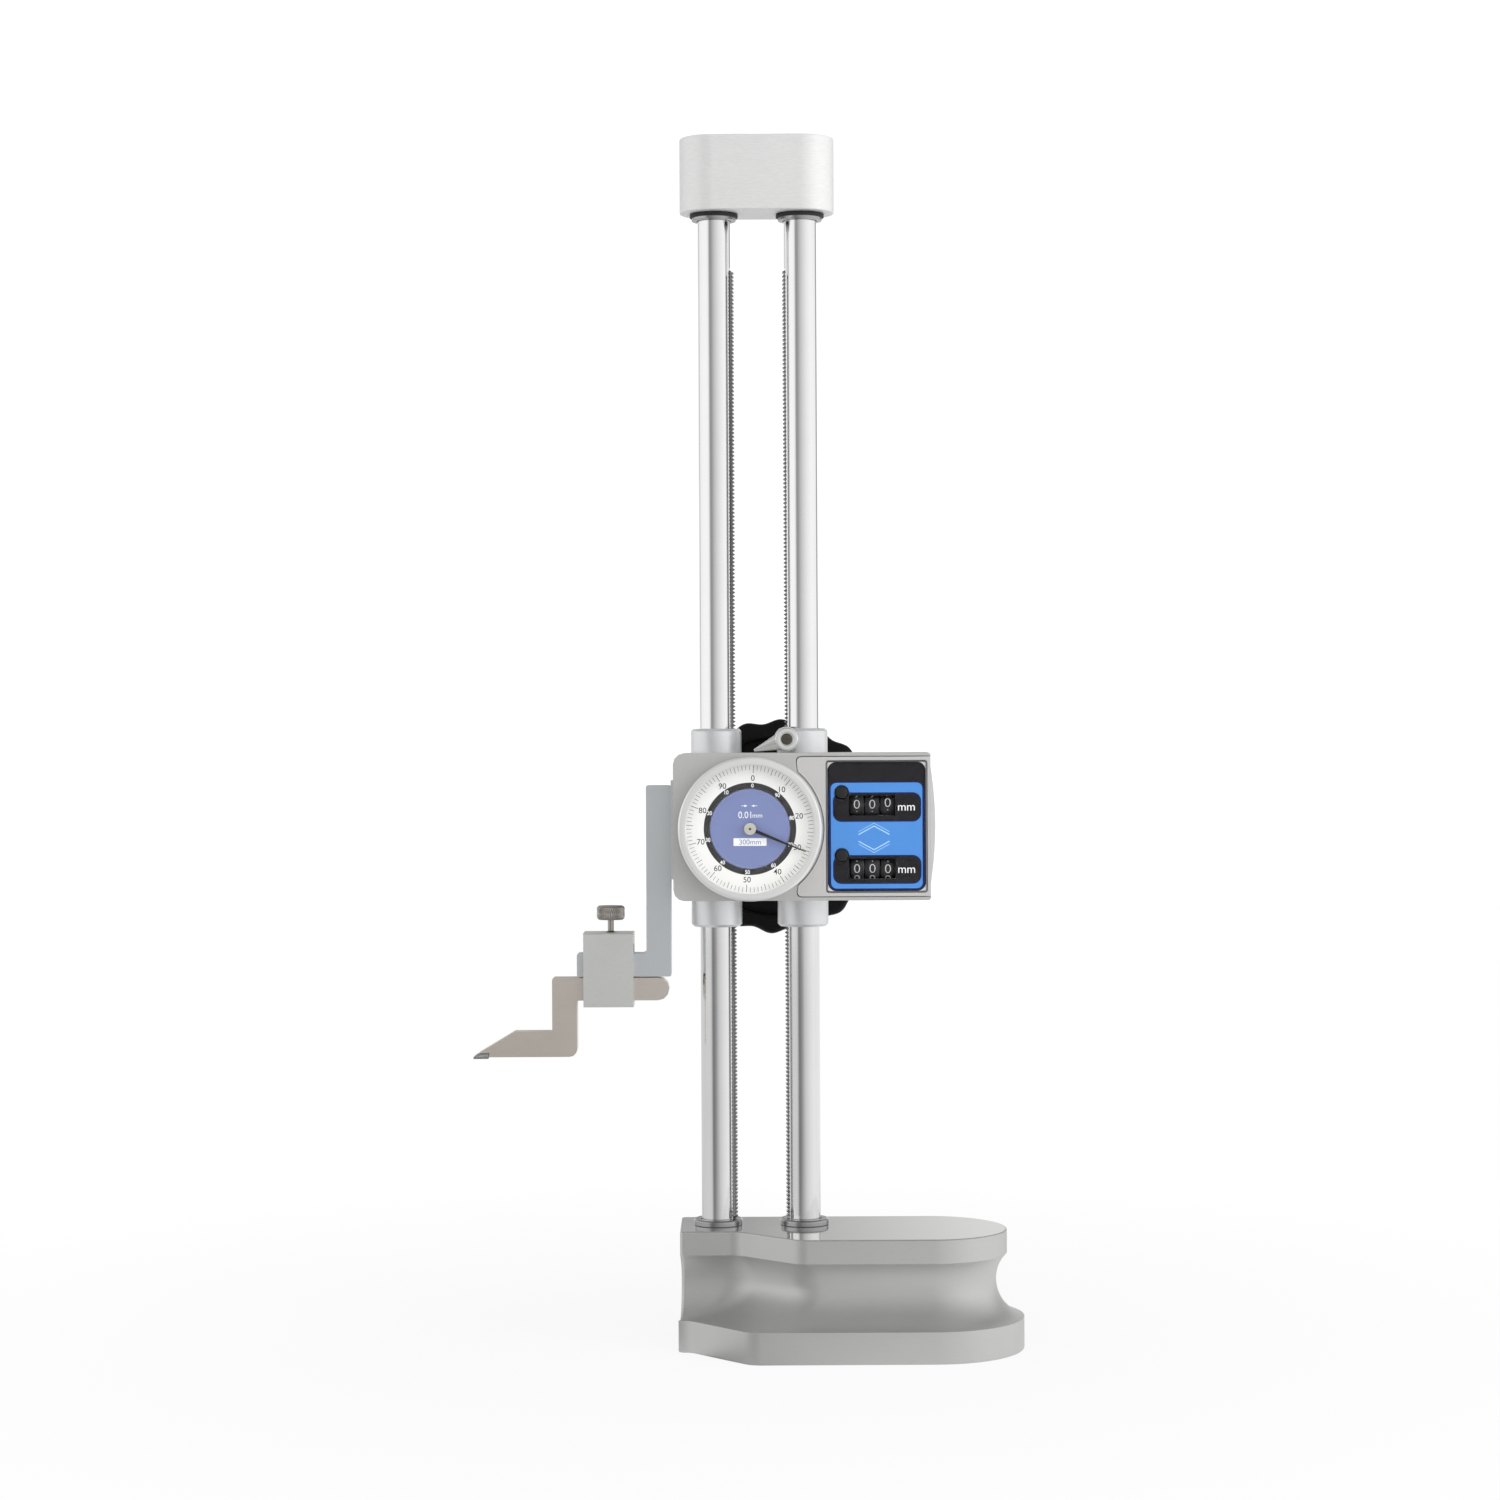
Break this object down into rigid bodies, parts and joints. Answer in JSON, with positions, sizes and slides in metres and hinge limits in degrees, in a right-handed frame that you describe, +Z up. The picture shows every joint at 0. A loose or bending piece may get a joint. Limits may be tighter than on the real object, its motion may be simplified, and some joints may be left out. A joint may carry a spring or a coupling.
{
  "type": "dial height gauge",
  "caption": "Double column height gauge with a turning dial, up and down counters, rear hand wheel, column clamp and a scriber on an arm.",
  "frame": {"origin": "on the face that the base stands on, midway between the two column axes", "axes": "+Z up along the columns, +X to the right of the dial, +Y to the back, away from the dial"},
  "size_m": [0.2159, 0.0973, 0.475],
  "materials": {
    "base_paint": "grey textured paint, satin",
    "chrome": "hard chrome, polished",
    "steel": "ground steel",
    "dark_steel": "blackened steel",
    "scriber_steel": "hardened steel, brownish grey",
    "carbide": "ground carbide",
    "aluminium": "satin, pale grey",
    "cover": "satin grey cover",
    "brass": "turned brass",
    "black_plastic": "black, satin",
    "clear": "clear",
    "dial_white": "matt white dial",
    "dial_violet": "blue violet, matt",
    "panel_blue": "blue and black print"
  },
  "bodies": {
    "base": {"base_casting": "base_paint", "left_column": "chrome", "right_column": "chrome", "measuring_rack": "steel", "feed_rack": "steel", "left_base_collar": "steel", "right_base_collar": "steel", "left_top_bumper": "black_plastic", "right_top_bumper": "black_plastic", "top_bridge": "aluminium", "left_bridge_screw": "dark_steel", "right_bridge_screw": "dark_steel", "left_base_bolt": "dark_steel", "right_base_bolt": "dark_steel"},
    "carriage": {"slider_body": "aluminium", "left_lower_bush": "brass", "left_upper_bush": "brass", "right_lower_bush": "brass", "right_upper_bush": "brass", "measuring_arm": "aluminium", "upper_arm_screw": "dark_steel", "lower_arm_screw": "dark_steel", "front_cover": "cover", "counter_cover": "cover", "counter_window": "clear", "counter_panel": "panel_blue", "counter_frame": "steel", "movement_plate": "brass", "center_disc": "dial_violet", "feed_bush": "brass", "rear_cover": "aluminium", "clamp_pad": "brass"},
    "dial": {"bezel": "aluminium", "crystal": "clear", "dial_ring": "dial_white"},
    "pointer_train": {"pointer": "black_plastic", "pointer_arbor": "steel"},
    "measuring_train": {"measuring_arbor": "brass"},
    "counter_train": {"counter_arbor": "brass"},
    "intermediate_train": {"intermediate_arbor": "brass"},
    "transfer": {"transfer_shaft": "steel"},
    "upper_units": {"upper_counter_shaft": "steel", "upper_units_drum": "black_plastic"},
    "upper_tens": {"upper_tens_drum": "black_plastic"},
    "upper_hundreds": {"upper_hundreds_drum": "black_plastic"},
    "lower_units": {"lower_counter_shaft": "steel", "lower_units_drum": "black_plastic"},
    "lower_tens": {"lower_tens_drum": "black_plastic"},
    "lower_hundreds": {"lower_hundreds_drum": "black_plastic"},
    "upper_button": {"upper_reset_button": "black_plastic"},
    "lower_button": {"lower_reset_button": "black_plastic"},
    "feed": {"feed_shaft": "steel", "feed_wheel": "black_plastic", "feed_wheel_screw": "dark_steel"},
    "clamp_handle": {"clamp_lever": "aluminium", "clamp_screw": "dark_steel"},
    "scriber_holder": {"scriber_clamp": "steel"},
    "thumb": {"thumb_screw": "steel"},
    "scriber_bar": {"scriber": "scriber_steel", "carbide_tip": "carbide"}
  },
  "joints": [
    {"name": "carriage_slide", "type": "slide", "parent": "base", "child": "carriage", "axis": [0, 0, 1], "range_m": [-0.111, 0.199]},
    {"name": "feed_turn", "type": "hinge", "parent": "carriage", "child": "feed", "pos_m": [0.0069, 0, 0.2025], "axis": [0, 1, 0], "continuous": true},
    {"name": "measuring_turn", "type": "hinge", "parent": "carriage", "child": "measuring_train", "pos_m": [-0.00588, 0, 0.208], "axis": [0, 1, 0], "continuous": true},
    {"name": "counter_arbor_turn", "type": "hinge", "parent": "carriage", "child": "counter_train", "pos_m": [0.00342, 0, 0.2122], "axis": [0, 1, 0], "continuous": true},
    {"name": "intermediate_turn", "type": "hinge", "parent": "carriage", "child": "intermediate_train", "pos_m": [0.00369, 0, 0.2038], "axis": [0, 1, 0], "continuous": true},
    {"name": "pointer_turn", "type": "hinge", "parent": "carriage", "child": "pointer_train", "pos_m": [-0.0038, 0, 0.2035], "axis": [0, 1, 0], "continuous": true},
    {"name": "transfer_turn", "type": "hinge", "parent": "carriage", "child": "transfer", "pos_m": [0.03, -0.0155, 0.2], "axis": [0, 0, 1], "continuous": true},
    {"name": "upper_units_turn", "type": "hinge", "parent": "carriage", "child": "upper_units", "pos_m": [0.0437, -0.0155, 0.2122], "axis": [1, 0, 0], "continuous": true},
    {"name": "upper_tens_turn", "type": "hinge", "parent": "carriage", "child": "upper_tens", "pos_m": [0.0437, -0.0155, 0.2122], "axis": [1, 0, 0], "continuous": true},
    {"name": "upper_hundreds_turn", "type": "hinge", "parent": "carriage", "child": "upper_hundreds", "pos_m": [0.0437, -0.0155, 0.2122], "axis": [1, 0, 0], "continuous": true},
    {"name": "lower_units_turn", "type": "hinge", "parent": "carriage", "child": "lower_units", "pos_m": [0.0437, -0.0155, 0.1878], "axis": [1, 0, 0], "continuous": true},
    {"name": "lower_tens_turn", "type": "hinge", "parent": "carriage", "child": "lower_tens", "pos_m": [0.0437, -0.0155, 0.1878], "axis": [1, 0, 0], "continuous": true},
    {"name": "lower_hundreds_turn", "type": "hinge", "parent": "carriage", "child": "lower_hundreds", "pos_m": [0.0437, -0.0155, 0.1878], "axis": [1, 0, 0], "continuous": true},
    {"name": "bezel_turn", "type": "hinge", "parent": "carriage", "child": "dial", "pos_m": [-0.0038, 0, 0.2035], "axis": [0, 1, 0], "continuous": true},
    {"name": "clamp_lever_turn", "type": "hinge", "parent": "carriage", "child": "clamp_handle", "pos_m": [0.0107, 0, 0.2381], "axis": [0, 1, 0], "range_deg": [0, 75]},
    {"name": "thumb_screw_turn", "type": "hinge", "parent": "carriage", "child": "thumb", "pos_m": [-0.059, 0.0005, 0.17], "axis": [0, 0, 1], "continuous": true},
    {"name": "scriber_clamp_drop", "type": "slide", "parent": "carriage", "child": "scriber_holder", "axis": [0, 0, 1], "range_m": [-0.0028, 0]},
    {"name": "scriber_slide", "type": "slide", "parent": "scriber_holder", "child": "scriber_bar", "axis": [1, 0, 0], "range_m": [-0.012, 0.002]},
    {"name": "upper_reset_press", "type": "slide", "parent": "carriage", "child": "upper_button", "axis": [0, 1, 0], "range_m": [0, 0.0012], "stiffness_N_per_m": 400, "springref_m": -0.0005},
    {"name": "lower_reset_press", "type": "slide", "parent": "carriage", "child": "lower_button", "axis": [0, 1, 0], "range_m": [0, 0.0012], "stiffness_N_per_m": 400, "springref_m": -0.0005}
  ],
  "couplings": [
    {"joint": "feed_turn", "follows": "carriage_slide", "rad_per_m": 285.71},
    {"joint": "measuring_turn", "follows": "carriage_slide", "rad_per_m": -261.8},
    {"joint": "counter_arbor_turn", "follows": "carriage_slide", "rad_per_m": 628.32},
    {"joint": "intermediate_turn", "follows": "carriage_slide", "rad_per_m": -1570.8},
    {"joint": "pointer_turn", "follows": "carriage_slide", "rad_per_m": 6283.2},
    {"joint": "transfer_turn", "follows": "carriage_slide", "rad_per_m": -628.32},
    {"joint": "upper_units_turn", "follows": "carriage_slide", "rad_per_m": -628.32},
    {"joint": "upper_tens_turn", "follows": "carriage_slide", "rad_per_m": -62.832},
    {"joint": "upper_hundreds_turn", "follows": "carriage_slide", "rad_per_m": -6.2832},
    {"joint": "lower_units_turn", "follows": "carriage_slide", "rad_per_m": 628.32},
    {"joint": "lower_tens_turn", "follows": "carriage_slide", "rad_per_m": 62.832},
    {"joint": "lower_hundreds_turn", "follows": "carriage_slide", "rad_per_m": 6.2832},
    {"joint": "thumb_screw_turn", "follows": "scriber_clamp_drop", "rad_per_m": -8976}
  ]
}
